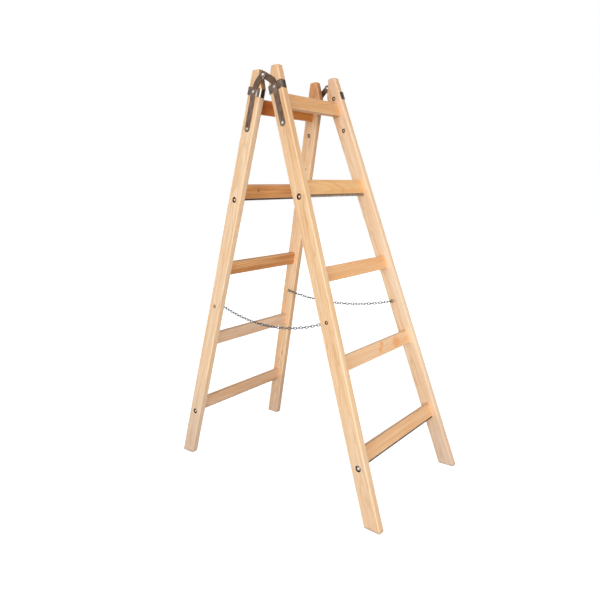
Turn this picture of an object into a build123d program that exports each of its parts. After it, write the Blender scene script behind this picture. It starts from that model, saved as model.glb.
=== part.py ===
from build123d import *
import os
from math import asinh, atan, cos, radians, sin, sqrt, tan

# A double-sided wooden stepladder: two rung halves, hinged at the top and held open by two chains.
# Sizes are in millimetres. X runs along the rungs, the front half stands towards -Y, Z is up.
# On each half, s is measured up along the half from the floor, and n outwards from its middle.

# Stiles
lean = radians(16.46)
splay = radians(4.0)
foot_width = 520.7
stile_depth = 55.0
stile_thickness = 25.0
stile_rounding = 4.0
top_height = 1390.0
top_gap = 54.0
bevel_start = 1393.0
top_rounding = 5.0
foot_rounding = 1.5

# Rungs, let into the stiles with shouldered tenons
rung_height = 48.0
rung_thickness = 18.0
rung_rounding = 3.0
rung_levels = [213.5, 493.5, 773.5, 1053.5, 1335.5]
tenon_height = 36.0
tenon_thickness = 11.0
tenon_length = 14.0

# Tie rods under the lowest rung and the second from the top
rod_rungs = {"lower": 0, "upper": 3}
rod_diameter = 7.5
rod_drop = 28.0
rod_recess_diameter = 20.0
rod_recess_depth = 9.0
rod_nut_flats = 13.0
rod_nut_height = 5.5
rod_washer_diameter = 18.0
rod_washer_thickness = 1.5
rod_end = 0.8

# Hinge: a strap on the outer face of each stile, meeting its partner at the pivot rivet
pivot_level = 1434.5
pivot_inset = 32.0
strap_width = 21.0
strap_thickness = 2.4
strap_low = 1252.0
strap_flat = 1350.0
elbow_level = 1398.0
elbow_bend = {"front": 18.0, "rear": 90.0}
arm_level = 1405.0
arm_clearance = 0.2
lower_bolt_level = 1262.5
upper_bolt_level = 1379.0

# Clip bent round the stile under each strap, at its upper bolt
clip_thickness = 2.0
clip_height = 26.0
clip_reach = 19.0
clip_rounding = 4.0

# Strap bolts, with nuts sunk into the inner faces
bolt_diameter = 6.0
bolt_head_diameter = 10.0
bolt_head_height = 2.8
bolt_recess_diameter = 15.0
bolt_recess_depth = 8.0
bolt_nut_flats = 10.0
bolt_nut_height = 5.0
bolt_washer_diameter = 13.0
bolt_washer_thickness = 1.2
bolt_end = 1.0

# Pivot rivets
rivet_diameter = 8.0
rivet_fit = 0.05
rivet_head_diameter = 10.0
rivet_head_height = 2.8
rivet_tail_diameter = 11.0
rivet_tail_height = 2.0
rivet_washer_diameter = 18.0
rivet_washer_thickness = 0.8

# Spreader chains and the eye bolts that carry them
eye_level = 630.0
eye_standoff = 8.0
eye_radius = 5.2
eye_wire = 3.6
eye_shank = 5.0
eye_recess_diameter = 13.0
eye_recess_depth = 6.0
eye_nut_flats = 8.0
eye_nut_height = 4.0
eye_washer_diameter = 11.0
eye_washer_thickness = 1.0
chain_low = {"left": 552.5, "right": 572.5}
link_count = 41
link_wire = 2.5
link_inner_length = 13.03
link_width = 9.6
link_slack = 0.2
links_per_strand = 13

hole_fit = 0.25
bore_fit = 0.05

# Values that follow from those above
taper = tan(splay)
stile_wall = stile_thickness * cos(splay)
half_reach = pivot_level * sin(lean) + pivot_inset * cos(lean)
clip_step = clip_thickness / cos(splay)
strap_proud = clip_thickness + strap_thickness
rod_levels = {name: rung_levels[number] - rod_drop for name, number in rod_rungs.items()}
hinge_levels = (lower_bolt_level, upper_bolt_level)
sides = {"left": -1, "right": 1}
halves = {
    "front": Plane(origin=(0, -half_reach, 0), x_dir=(1, 0, 0), z_dir=(0, -cos(lean), sin(lean))),
    "rear": Plane(origin=(0, half_reach, 0), x_dir=(-1, 0, 0), z_dir=(0, cos(lean), sin(lean))),
}

os.makedirs("parts", exist_ok=True)


def save(piece, name):
    """Label a finished piece and write it."""
    piece.part.label = name
    export_step(piece.part, f"parts/{name}.step")


def outer(s):
    """Distance of a stile's outer face from the middle of the ladder."""
    return foot_width / 2 - taper * s


def inner(s):
    """Distance of a stile's inner face from the middle of the ladder."""
    return outer(s) - stile_thickness


def local_sign(face, side):
    """Which way a side lies along the half's own X axis."""
    return sides[side] * face.x_dir.X


def across(face, x=0.0):
    """Plane square to the rungs, drawn on in n and s."""
    return Plane(origin=face.from_local_coords((x, 0, 0)), x_dir=face.z_dir, z_dir=face.x_dir * -1)


def seat(face, sign, x, s):
    """Plane square to the rungs at one fastener, facing outwards."""
    return Plane(origin=face.from_local_coords((sign * x, s, 0)), x_dir=face.z_dir, z_dir=face.x_dir * sign)


def outside(face, sign, s, proud=0.0):
    """Plane on a stile's outer face at s, or parallel to it, facing outwards with Y up the stile."""
    normal = face.x_dir * (sign * cos(splay)) + face.y_dir * sin(splay)
    point = face.from_local_coords((sign * outer(s), s, 0))
    return Plane(origin=point + normal * proud, x_dir=face.z_dir * -sign, z_dir=normal)


def disc(plane, diameter, height, mode=Mode.ADD):
    """Round bar or round hole standing on a plane."""
    with BuildSketch(plane) as profile:
        Circle(diameter / 2)
    extrude(profile.sketch, amount=height, mode=mode)


def washer(plane, diameter, bore, thickness):
    """Flat ring standing on a plane."""
    with BuildSketch(plane) as profile:
        Circle(diameter / 2)
        Circle(bore / 2 + bore_fit, mode=Mode.SUBTRACT)
    extrude(profile.sketch, amount=thickness)


def hex_nut(plane, flats, bore, height):
    """Six-sided nut standing on a plane."""
    with BuildSketch(plane) as profile:
        RegularPolygon(radius=flats / 2, side_count=6, major_radius=False)
        Circle(bore / 2 + bore_fit, mode=Mode.SUBTRACT)
    extrude(profile.sketch, amount=height)


def domed_head(plane, diameter, height):
    """Low rounded head: a short rim and two cones."""
    disc(plane, diameter, height * 0.3)
    with BuildSketch(plane.offset(height * 0.3)) as rim:
        Circle(diameter / 2)
    extrude(rim.sketch, amount=height * 0.4, taper=40)
    with BuildSketch(plane.offset(height * 0.7)) as crown:
        Circle(diameter / 2 - height * 0.4 * tan(radians(40)))
    extrude(crown.sketch, amount=height * 0.3, taper=66)


def rung_outline(s, height, reach):
    """Front view of a rung or its tenons, ending parallel to the splayed stiles."""
    low = s - height / 2
    high = s + height / 2
    return [
        (-inner(low) - reach, low),
        (inner(low) + reach, low),
        (inner(high) + reach, high),
        (-inner(high) - reach, high),
    ]


def stile_side_view():
    """Corners of a stile in n and s: foot on the floor, level top, inner edge cut back at the top."""
    edge = stile_depth / 2
    floor_step = edge * tan(lean)
    top_outer = (top_height - edge * sin(lean)) / cos(lean)
    run = half_reach - top_gap / 2
    top_inner = (
        top_height * sin(lean) - run * cos(lean),
        top_height * cos(lean) + run * sin(lean),
    )
    return [(-edge, floor_step), (edge, -floor_step), (edge, top_outer), top_inner, (-edge, bevel_start)]


# Stiles
for half, face in halves.items():
    for side in sides:
        sign = local_sign(face, side)
        low = -stile_depth
        high = pivot_level + stile_depth
        with BuildPart() as stile:
            with BuildSketch(face):
                Polygon(
                    (sign * outer(low), low),
                    (sign * outer(high), high),
                    (sign * inner(high), high),
                    (sign * inner(low), low),
                )
            extrude(amount=stile_depth / 2, both=True)
            with BuildSketch(across(face)) as side_view:
                Polygon(*stile_side_view())
                fillet(side_view.vertices().sort_by(Axis.Y)[-2:], top_rounding)
            extrude(amount=foot_width, both=True, mode=Mode.INTERSECT)
            wide_edges = stile.faces().sort_by(SortBy.AREA)[-2:].edges()
            fillet(wide_edges.sort_by(Axis.Z)[2:], stile_rounding)
            fillet(stile.faces().sort_by(Axis.Z)[0].edges(), foot_rounding)
            with BuildSketch(face):
                for level in rung_levels:
                    Polygon(*rung_outline(level, tenon_height, tenon_length))
            extrude(amount=tenon_thickness / 2, both=True, mode=Mode.SUBTRACT)
            for level in rod_levels.values():
                floor = outer(level) - rod_recess_depth
                disc(seat(face, sign, 0, level), rod_diameter + 2 * hole_fit, foot_width, Mode.SUBTRACT)
                disc(seat(face, sign, floor, level), rod_recess_diameter, foot_width, Mode.SUBTRACT)
            for level in hinge_levels:
                back = outside(face, sign, level, -stile_wall + bolt_recess_depth)
                disc(back, bolt_diameter + 2 * hole_fit, foot_width, Mode.SUBTRACT)
                disc(back, bolt_recess_diameter, -stile_wall, Mode.SUBTRACT)
            floor = outer(eye_level) - eye_recess_depth
            disc(seat(face, sign, 0, eye_level), eye_shank + 2 * hole_fit, foot_width, Mode.SUBTRACT)
            disc(seat(face, sign, floor, eye_level), eye_recess_diameter, foot_width, Mode.SUBTRACT)
        save(stile, f"{half}_{side}_stile")

# Rungs, numbered from the bottom
for half, face in halves.items():
    for number, level in enumerate(rung_levels, start=1):
        with BuildPart() as rung:
            with BuildSketch(face):
                Polygon(*rung_outline(level, rung_height, 0))
            extrude(amount=rung_thickness / 2, both=True)
            fillet(rung.edges().filter_by(Axis.X), rung_rounding)
            with BuildSketch(face):
                Polygon(*rung_outline(level, tenon_height, tenon_length))
            extrude(amount=tenon_thickness / 2, both=True)
        save(rung, f"{half}_rung_{number}")

# Tie rods with their nuts and washers
for half, face in halves.items():
    for name, level in rod_levels.items():
        floor = outer(level) - rod_recess_depth
        tip = floor + rod_washer_thickness + rod_nut_height + rod_end
        with BuildPart() as rod:
            disc(seat(face, 1, -tip, level), rod_diameter, 2 * tip)
            chamfer(rod.edges().filter_by(GeomType.CIRCLE), rod_end)
        save(rod, f"{half}_{name}_tie_rod")
    with BuildPart() as rod_washers:
        for level in rod_levels.values():
            for sign in sides.values():
                recess = seat(face, sign, outer(level) - rod_recess_depth, level)
                washer(recess, rod_washer_diameter, rod_diameter, rod_washer_thickness)
    save(rod_washers, f"{half}_rod_washers")
    with BuildPart() as rod_nuts:
        for level in rod_levels.values():
            for sign in sides.values():
                floor = outer(level) - rod_recess_depth + rod_washer_thickness
                hex_nut(seat(face, sign, floor, level), rod_nut_flats, rod_diameter, rod_nut_height)
    save(rod_nuts, f"{half}_rod_nuts")

# Clips bent round the stiles under the straps
for half, face in halves.items():
    for side in sides:
        sign = local_sign(face, side)
        plate = outside(face, sign, upper_bolt_level)
        with BuildPart() as clip:
            with BuildSketch(plate.offset(-clip_reach)):
                Rectangle(stile_depth + 2 * clip_thickness, clip_height)
            extrude(amount=clip_reach + clip_thickness)
            corners = clip.edges().filter_by(Axis(plate.origin, plate.y_dir))
            fillet(corners.sort_by(Axis(plate.origin, plate.z_dir))[-2:], clip_rounding)
            with BuildSketch(plate):
                Rectangle(stile_depth, 2 * clip_height)
            extrude(amount=-2 * stile_wall, mode=Mode.SUBTRACT)
            disc(plate, bolt_diameter + 2 * hole_fit, strap_proud, Mode.SUBTRACT)
        save(clip, f"{half}_{side}_clip")


def arm_offset(half):
    """Distance of a strap's arm from the middle: the rear arm laps outside the front one, past a washer."""
    lap = strap_thickness + rivet_washer_thickness + arm_clearance if half == "rear" else 0.0
    return outer(arm_level) + arm_clearance + lap


def strap_edge_view(half, sign):
    """Strap seen edge on, in x and s: flat up the stile, over the clip, then upright at the arm."""
    clip_foot = upper_bolt_level - clip_height / 2
    clip_top = upper_bolt_level + clip_height / 2 + arm_clearance
    back = [
        (outer(strap_low), strap_low),
        (outer(strap_flat), strap_flat),
        (outer(clip_foot) + clip_step, clip_foot),
        (outer(clip_top) + clip_step, clip_top),
        (arm_offset(half), arm_level),
        (arm_offset(half), pivot_level + strap_width),
    ]
    front = [(x + strap_thickness, s) for x, s in reversed(back)]
    return [(sign * x, s) for x, s in back + front]


# Hinge straps: the edge view, cut to the outline of a round-ended band that bends towards the pivot
for half, face in halves.items():
    for side in sides:
        sign = local_sign(face, side)
        foot = (0, strap_low + strap_width / 2)
        pivot = (-pivot_inset, pivot_level)
        with BuildPart() as strap:
            with BuildSketch(face):
                Polygon(*strap_edge_view(half, sign))
            extrude(amount=pivot_inset + strap_width, both=True)
            with BuildSketch(across(face)):
                with BuildLine():
                    FilletPolyline(foot, (0, elbow_level), pivot, radius=elbow_bend[half])
                trace(line_width=strap_width)
                with Locations(foot, pivot):
                    Circle(strap_width / 2)
                with Locations(pivot):
                    Circle(rivet_diameter / 2 + rivet_fit, mode=Mode.SUBTRACT)
            extrude(amount=foot_width, both=True, mode=Mode.INTERSECT)
            for level in hinge_levels:
                disc(outside(face, sign, level), bolt_diameter + 2 * hole_fit, 2 * strap_proud, Mode.SUBTRACT)
        save(strap, f"{half}_{side}_strap")

# Strap bolts with their nuts and washers
bolt_seats = {lower_bolt_level: strap_thickness, upper_bolt_level: strap_proud}
nut_floor = -stile_wall + bolt_recess_depth
for half, face in halves.items():
    with BuildPart() as strap_bolts:
        for level, proud in bolt_seats.items():
            for sign in sides.values():
                length = proud - nut_floor + bolt_washer_thickness + bolt_nut_height + bolt_end
                head = outside(face, sign, level, proud)
                domed_head(head, bolt_head_diameter, bolt_head_height)
                disc(head, bolt_diameter, -length)
    save(strap_bolts, f"{half}_strap_bolts")
    with BuildPart() as bolt_washers:
        for level in hinge_levels:
            for sign in sides.values():
                back = outside(face, sign, level, nut_floor)
                washer(back, bolt_washer_diameter, bolt_diameter, -bolt_washer_thickness)
    save(bolt_washers, f"{half}_bolt_washers")
    with BuildPart() as bolt_nuts:
        for level in hinge_levels:
            for sign in sides.values():
                back = outside(face, sign, level, nut_floor - bolt_washer_thickness)
                hex_nut(back, bolt_nut_flats, bolt_diameter, -bolt_nut_height)
    save(bolt_nuts, f"{half}_bolt_nuts")

# Pivot rivets held by the front straps, with a washer between the two arms
arm_back = arm_offset("front")
arm_face = arm_back + strap_thickness
head_seat = arm_offset("rear") + strap_thickness + arm_clearance
pivot_height = pivot_level * cos(lean) - pivot_inset * sin(lean)
with BuildPart() as pivot_rivets:
    for sign in sides.values():
        upright = Plane(origin=(sign * arm_back, 0, pivot_height), x_dir=(0, 1, 0), z_dir=(sign, 0, 0))
        disc(upright, rivet_diameter, head_seat - arm_back)
        disc(upright, rivet_tail_diameter, -rivet_tail_height)
        domed_head(upright.offset(head_seat - arm_back), rivet_head_diameter, rivet_head_height)
save(pivot_rivets, "pivot_rivets")
with BuildPart() as pivot_washers:
    for sign in sides.values():
        upright = Plane(origin=(sign * arm_face, 0, pivot_height), x_dir=(0, 1, 0), z_dir=(sign, 0, 0))
        washer(upright, rivet_washer_diameter, rivet_diameter, rivet_washer_thickness)
save(pivot_washers, "pivot_washers")

# Spreader chains: each hangs as a parabola between two eyes
eye_y = half_reach - eye_level * sin(lean)
eye_z = eye_level * cos(lean)
eye_x = inner(eye_level) - eye_standoff
link_radius = (link_width - link_wire) / 2
link_reach = (link_inner_length + link_wire) / 2
link_turn = 60
link_straight = 2 * (link_reach - link_radius * cos(radians(link_turn / 2)))
first_link = link_reach - (eye_wire + link_wire) / 2 - link_slack


def end_slope(side):
    """Angle below level at which a chain leaves its eyes."""
    return atan(2 * (eye_z - chain_low[side]) / eye_y)


def chain_points(side):
    """Middle and slope of each link, spaced evenly along the chain from the front eye."""
    slope = end_slope(side)
    reach = eye_y - eye_radius * cos(slope)
    curve = (eye_z - eye_radius * sin(slope) - chain_low[side]) / reach**2

    def run(y):
        return y / 2 * sqrt(1 + (2 * curve * y) ** 2) + asinh(2 * curve * y) / (4 * curve)

    spacing = 2 * (run(reach) - first_link) / (link_count - 1)
    points = []
    for number in range(link_count):
        wanted = (number - (link_count - 1) / 2) * spacing
        y = wanted
        for _ in range(6):
            y -= (run(y) - wanted) / sqrt(1 + (2 * curve * y) ** 2)
        points.append((y, chain_low[side] + curve * y**2, atan(2 * curve * y)))
    return points


def link_plane(side, number, y, z, slope):
    """Links stand upright and lie flat in turn."""
    along = (0, cos(slope), sin(slope))
    upright = number % 2 == 0
    normal = (1, 0, 0) if upright else (0, -sin(slope), cos(slope))
    return Plane(origin=(sides[side] * eye_x, y, z), x_dir=along, z_dir=normal)


with BuildPart() as link:
    with BuildLine() as link_path:
        bend_points = [
            (end * link_straight / 2 + link_radius * cos(radians(turn)), link_radius * sin(radians(turn)))
            for end, start in ((1, -90), (-1, 90))
            for turn in range(start, start + 181, link_turn)
        ]
        Polyline((0, -link_radius), *bend_points, close=True)
    with BuildSketch(Plane(origin=(0, -link_radius, 0), z_dir=(1, 0, 0))):
        RegularPolygon(radius=link_wire / 2, side_count=6)
    sweep(transition=Transition.RIGHT)

middle = link_count // 2 + 1
strands = {
    "front_{}_chain_upper": range(0, links_per_strand),
    "front_{}_chain_lower": range(links_per_strand, middle),
    "rear_{}_chain_lower": range(middle, link_count - links_per_strand),
    "rear_{}_chain_upper": range(link_count - links_per_strand, link_count),
}
for side in sides:
    points = chain_points(side)
    for name, numbers in strands.items():
        with BuildPart() as strand:
            with Locations(*[link_plane(side, number, *points[number]) for number in numbers]):
                add(link.part, clean=False)
        save(strand, name.format(side))

# Eye bolts that carry the chains, with their nuts and washers
for half, face in halves.items():
    floor = outer(eye_level) - eye_recess_depth
    tip = floor + eye_washer_thickness + eye_nut_height + rod_end
    with BuildPart() as chain_eyes:
        for side in sides:
            sign = local_sign(face, side)
            centre = face.from_local_coords((sign * eye_x, eye_level, 0))
            slope = end_slope(side)
            pull = Vector(0, -centre.Y, 0).normalized() * cos(slope) - Vector(0, 0, sin(slope))
            with BuildSketch(Plane(origin=centre, x_dir=(1, 0, 0), z_dir=pull)):
                with Locations((eye_radius, 0)):
                    RegularPolygon(radius=eye_wire / 2, side_count=6)
            revolve(axis=Axis(centre, Vector(1, 0, 0).cross(pull)))
            disc(seat(face, sign, eye_x + eye_radius, eye_level), eye_shank, tip - eye_x - eye_radius)
    save(chain_eyes, f"{half}_chain_eyes")
    with BuildPart() as eye_washers:
        for sign in sides.values():
            washer(seat(face, sign, floor, eye_level), eye_washer_diameter, eye_shank, eye_washer_thickness)
    save(eye_washers, f"{half}_eye_washers")
    with BuildPart() as eye_nuts:
        for sign in sides.values():
            nut_seat = seat(face, sign, floor + eye_washer_thickness, eye_level)
            hex_nut(nut_seat, eye_nut_flats, eye_shank, eye_nut_height)
    save(eye_nuts, f"{half}_eye_nuts")
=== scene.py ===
from math import atan, cos, pi, radians, sin, tan

import bmesh
import bpy
import numpy as np
from mathutils import Matrix, Vector


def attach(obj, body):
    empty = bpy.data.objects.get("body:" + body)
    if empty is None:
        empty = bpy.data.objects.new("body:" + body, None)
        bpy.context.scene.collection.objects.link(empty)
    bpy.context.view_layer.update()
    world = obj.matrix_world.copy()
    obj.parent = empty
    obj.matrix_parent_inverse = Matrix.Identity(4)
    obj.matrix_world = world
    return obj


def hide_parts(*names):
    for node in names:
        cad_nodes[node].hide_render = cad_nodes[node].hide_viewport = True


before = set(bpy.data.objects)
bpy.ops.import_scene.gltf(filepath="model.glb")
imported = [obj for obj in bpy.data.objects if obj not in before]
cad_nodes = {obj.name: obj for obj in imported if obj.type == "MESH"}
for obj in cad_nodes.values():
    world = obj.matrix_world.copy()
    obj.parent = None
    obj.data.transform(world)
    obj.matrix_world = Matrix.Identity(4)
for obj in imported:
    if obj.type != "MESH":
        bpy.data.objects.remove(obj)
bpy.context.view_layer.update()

# Sizes of the ladder, in metres and radians. X runs along the rungs, the front half stands towards -Y.
# On each half, s is measured up along the half from the floor.
# A stile's thickness is measured along the rungs, and its wall square to its faces.
mm = 0.001
lean = radians(16.46)
splay = radians(4.0)
foot_width = 520.7 * mm
stile_depth = 55.0 * mm
stile_thickness = 25.0 * mm
stile_wall = stile_thickness * cos(splay)
stile_rounding = 4.0 * mm
rung_height = 48.0 * mm
rung_thickness = 18.0 * mm
rung_rounding = 3.0 * mm
rung_levels = np.array([213.5, 493.5, 773.5, 1053.5, 1335.5]) * mm
top_height = 1390.0 * mm
top_gap = 54.0 * mm
bevel_start = 1393.0 * mm
pivot_level = 1434.5 * mm
pivot_inset = 32.0 * mm
half_reach = pivot_level * sin(lean) + pivot_inset * cos(lean)
halves = {"front": -1, "rear": 1}
sides = {"left": -1, "right": 1}

# Tie rods and their nuts, sunk in the outer faces
rod_drop = 28.0 * mm
rod_levels = {"lower": rung_levels[0] - rod_drop, "upper": rung_levels[3] - rod_drop}
rod_diameter = 7.5 * mm
rod_recess_diameter = 20.0 * mm
rod_recess_depth = 9.0 * mm
rod_nut_flats = 13.0 * mm
rod_nut_height = 5.5 * mm
rod_washer_thickness = 1.5 * mm
rod_end = 0.8 * mm

# Strap bolts, through strap, clip and stile to nuts sunk in the inner faces
clip_thickness = 2.0 * mm
clip_rounding = 4.0 * mm
strap_width = 21.0 * mm
strap_thickness = 2.4 * mm
lower_bolt = 1262.5 * mm
upper_bolt = 1379.0 * mm
bolt_seats = {lower_bolt: strap_thickness, upper_bolt: strap_thickness + clip_thickness}
bolt_diameter = 6.0 * mm
bolt_head_diameter = 10.0 * mm
bolt_head_height = 2.8 * mm
bolt_recess_diameter = 15.0 * mm
bolt_recess_depth = 8.0 * mm
bolt_nut_flats = 10.0 * mm
bolt_nut_height = 5.0 * mm
bolt_washer_thickness = 1.2 * mm
bolt_end = 1.0 * mm

# Pivot rivets, through the front arm, a washer and the rear arm
arm_level = 1405.0 * mm
arm_clearance = 0.2 * mm
rivet_diameter = 8.0 * mm
rivet_head_diameter = 10.0 * mm
rivet_head_height = 2.8 * mm
rivet_tail_diameter = 11.0 * mm
rivet_tail_height = 2.0 * mm
rivet_washer_thickness = 0.8 * mm

# Chains and the eye bolts that carry them
eye_level = 630.0 * mm
eye_standoff = 8.0 * mm
eye_radius = 5.2 * mm
eye_wire = 3.6 * mm
eye_shank = 5.0 * mm
eye_recess_diameter = 13.0 * mm
eye_recess_depth = 6.0 * mm
eye_nut_flats = 8.0 * mm
eye_nut_height = 4.0 * mm
eye_washer_thickness = 1.0 * mm
chain_low = {"left": 552.5 * mm, "right": 572.5 * mm}
link_count = 41
link_wire = 2.5 * mm
link_inner_length = 13.03 * mm
link_width = 9.6 * mm
link_reach = (link_inner_length + link_wire) / 2
link_radius = (link_width - link_wire) / 2
link_slack = 0.2 * mm
links_per_strand = 13

# The photograph's camera
camera_place = (-1.4328, -1.2117, 0.96755)
camera_heading = radians(-49.08)
camera_dip = radians(10.625)
camera_roll = radians(-2.416)
focal_pixels = 522.73
image_pixels = 600
sensor_width = 36.0


# Where things are


def outer(s):
    """Distance of a stile's outer face from the middle of the ladder."""
    return foot_width / 2 - tan(splay) * s


def half_axes(half):
    """A half's point on the floor, and the directions along its rungs, up it and out of its face."""
    turn = halves[half]
    place = np.array([0, turn * half_reach, 0])
    up = np.array([0, -turn * sin(lean), cos(lean)])
    out = np.array([0, turn * cos(lean), sin(lean)])
    return place, np.array([1.0, 0, 0]), up, out


def stile_axes(half, side):
    """A stile's middle on the floor, the way across its wide face, and the way along its grain."""
    place, along, up, out = half_axes(half)
    sign = sides[side]
    middle = place + sign * along * (foot_width - stile_thickness) / 2
    return middle, out, up * cos(splay) - sign * along * sin(splay)


def rung_axes(half, number):
    """A rung's middle, the way across its wide face, and the way along its grain."""
    place, along, up, _ = half_axes(half)
    return place + up * rung_levels[number], up, along


def stand(place, axis, across):
    """Three rows of a matrix that stands a shape's Z on an axis at a place, with its X across."""
    return np.column_stack([across, np.cross(axis, across), axis, place])


def on_outer_face(half, sign, s, proud):
    """Stand on a stile's outer face at s, or parallel to it, facing outwards."""
    place, along, up, out = half_axes(half)
    normal = sign * along * cos(splay) + up * sin(splay)
    return stand(place + sign * along * outer(s) + up * s + normal * proud, normal, out)


def on_rod_line(half, sign, x, s):
    """Stand on a line along the rungs at s, at a distance x from the middle, facing outwards."""
    place, along, up, out = half_axes(half)
    return stand(place + sign * along * x + up * s, sign * along, out)


# Surfaces

round_steps = 36
dome_steps = 9
nut_steps = 72
chamfer_steps = 6
bow_steps = 9
side_steps = 5
link_wire_steps = 10
eye_wire_steps = 14
weld_reach = 0.9 * mm
weld_swell = 0.22
merge_distance = 0.002 * mm
sharp_corner = radians(35)
eased_corner = radians(40)
edge_easing = 0.45 * mm


def grid_faces(rows, columns, ring=False):
    """Quads between the points of a grid. Its columns run round a section, and a ring's rows close too."""
    row = np.arange(rows if ring else rows - 1)[:, None]
    column = np.arange(columns)[None, :]
    next_row = (row + 1) % rows
    next_column = (column + 1) % columns
    corners = [(row, column), (row, next_column), (next_row, next_column), (next_row, column)]
    return np.stack([r * columns + c for r, c in corners], axis=-1).reshape(-1, 4)


def turned(profile):
    """A profile of radius and height turned about Z: (radius cos a, radius sin a, height)."""
    radius, height = np.array(profile).T[:, :, None]
    angle = 2 * pi * np.arange(round_steps)[None, :] / round_steps
    points = np.stack([radius * np.cos(angle), radius * np.sin(angle), height + 0 * angle], axis=-1)
    return points.reshape(-1, 3), grid_faces(len(profile), round_steps)


def dome_profile(head, height):
    """Radius and height of a domed head: a cap of a sphere, from its crown down, and a short rim."""
    rim = 0.25 * height
    easing = 0.3 * rim
    cap = height - rim
    ball = ((head / 2) ** 2 + cap**2) / (2 * cap)
    turn = np.linspace(0, np.arcsin(head / 2 / ball), dome_steps)
    dome = np.column_stack([ball * np.sin(turn), height - ball + ball * np.cos(turn)])
    return np.vstack([dome, [(head / 2, easing), (head / 2 - easing, 0)]])


def domed_bolt(head, height, shank, length, tip):
    """Turned bolt: a domed head, then the shank down to a chamfered tip."""
    below = [(shank / 2, 0), (shank / 2, tip - length), (shank / 2 - tip, -length), (0, -length)]
    return turned(np.vstack([dome_profile(head, height), below]))


def pivot_rivet(grip):
    """Turned rivet: a domed head, the shank through the arms, and a lower domed tail behind them."""
    head = dome_profile(rivet_head_diameter, rivet_head_height)
    shank = [(rivet_diameter / 2, 0), (rivet_diameter / 2, -grip)]
    tail = dome_profile(rivet_tail_diameter, rivet_tail_height)[::-1] * (1, -1) - (0, grip)
    return turned(np.vstack([head, shank, tail]))


def plain_rod(diameter, length, tip):
    """Turned rod along Z with chamfered ends, its middle at the origin."""
    edge = diameter / 2
    end = [(0, length / 2), (edge - tip, length / 2), (edge, length / 2 - tip)]
    return turned(end + [(r, -h) for r, h in reversed(end)])


def hex_nut(flats, bore, height):
    """Six-sided nut on Z with its corners cut back by a cone above and below.

    At each angle the radius is the hexagon's, or the cone's where that is less.
    """
    chamfer = radians(30)
    land = 0.475 * flats
    angle = 2 * pi * np.arange(nut_steps) / nut_steps
    hexagon = flats / 2 / np.cos((angle + pi / 6) % (pi / 3) - pi / 6)
    depth = np.linspace(0, (hexagon.max() - land) * tan(chamfer), chamfer_steps)[:, None]
    corner = np.minimum(hexagon, land + depth / tan(chamfer))
    ring = np.full((1, nut_steps), bore / 2)
    radius = np.concatenate([ring, corner, corner[::-1], ring])
    level = np.concatenate([[[0]], depth, height - depth[::-1], [[height]]])
    points = np.stack([radius * np.cos(angle), radius * np.sin(angle), level + 0 * angle], axis=-1)
    return points.reshape(-1, 3), grid_faces(len(radius), nut_steps, ring=True)


def bent_wire(path, outward, wire, count, bulge=None):
    """Round wire along a closed flat path in XY, with a radius r that swells by the bulge.

    Its points are path + r (cos b outward + sin b Z).
    """
    angle = 2 * pi * np.arange(count)[None, :, None] / count
    radius = wire / 2 * (1 if bulge is None else 1 + bulge[:, None, None])
    upright = np.array([0, 0, 1.0])
    points = path[:, None] + radius * (np.cos(angle) * outward[:, None] + np.sin(angle) * upright)
    return points.reshape(-1, 3), grid_faces(len(path), count, ring=True)


def chain_link():
    """Welded link along X: two straight sides and two round bows, with a weld on one side.

    The wire swells at the weld by a bell curve of the distance from the middle of that side.
    """
    straight = link_reach - link_radius
    turn = np.linspace(-pi / 2, pi / 2, bow_steps)
    bow = np.column_stack([np.cos(turn), np.sin(turn), 0 * turn])
    across = np.array([0, 1.0, 0])
    side_run = np.linspace(0.5, -0.5, side_steps)[:, None] * straight * np.array([1.0, 0, 0])
    right = bow * link_radius + np.array([straight, 0, 0])
    top = side_run + link_radius * across
    path = np.concatenate([right, top, -right, -top])
    facing = np.tile(across, (side_steps, 1))
    outward = np.concatenate([bow, facing, -bow, -facing])
    straight_across = np.abs(outward[:, 1]) > 0.99
    on_side = (path[:, 1] > 0) * straight_across
    weld = np.exp(-((path[:, 0] / weld_reach) ** 2)) * on_side
    return bent_wire(path, outward, link_wire, link_wire_steps, weld_swell * weld)


def eye_ring():
    """Ring of the eye bolt, a circle of wire about Z."""
    angle = 2 * pi * np.arange(round_steps) / round_steps
    outward = np.column_stack([np.cos(angle), np.sin(angle), 0 * angle])
    return bent_wire(eye_radius * outward, outward, eye_wire, eye_wire_steps)


def copies(shape, stands):
    """One shape at several stands, moved as whole arrays."""
    points, faces = shape
    stands = np.array(stands)
    moved = np.einsum("kij,vj->kvi", stands[:, :, :3], points) + stands[:, None, :, 3]
    index = faces[None] + len(points) * np.arange(len(stands))[:, None, None]
    return moved.reshape(-1, 3), index.reshape(-1, 4)


def make_piece(name, node, body, slot, material, *shapes):
    """Join shapes into one smooth mesh that rides a body and stands for a node of the frame."""
    counts = np.cumsum([0] + [len(points) for points, _ in shapes])
    points = np.concatenate([points for points, _ in shapes])
    faces = np.concatenate([faces + start for (_, faces), start in zip(shapes, counts)])
    mesh = bpy.data.meshes.new(name)
    mesh.from_pydata(points.tolist(), [], faces.tolist())
    tidy_mesh(mesh)
    finish_piece(name, node, body, material, mesh)


def tidy_mesh(mesh):
    """Weld seams and poles, turn the faces outwards and shade smooth up to sharp corners."""
    work = bmesh.new()
    work.from_mesh(mesh)
    bmesh.ops.remove_doubles(work, verts=work.verts, dist=merge_distance)
    bmesh.ops.dissolve_degenerate(work, edges=work.edges, dist=merge_distance)
    bmesh.ops.recalc_face_normals(work, faces=work.faces)
    work.to_mesh(mesh)
    work.free()
    mesh.shade_smooth()
    mesh.set_sharp_from_angle(angle=sharp_corner)


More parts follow.
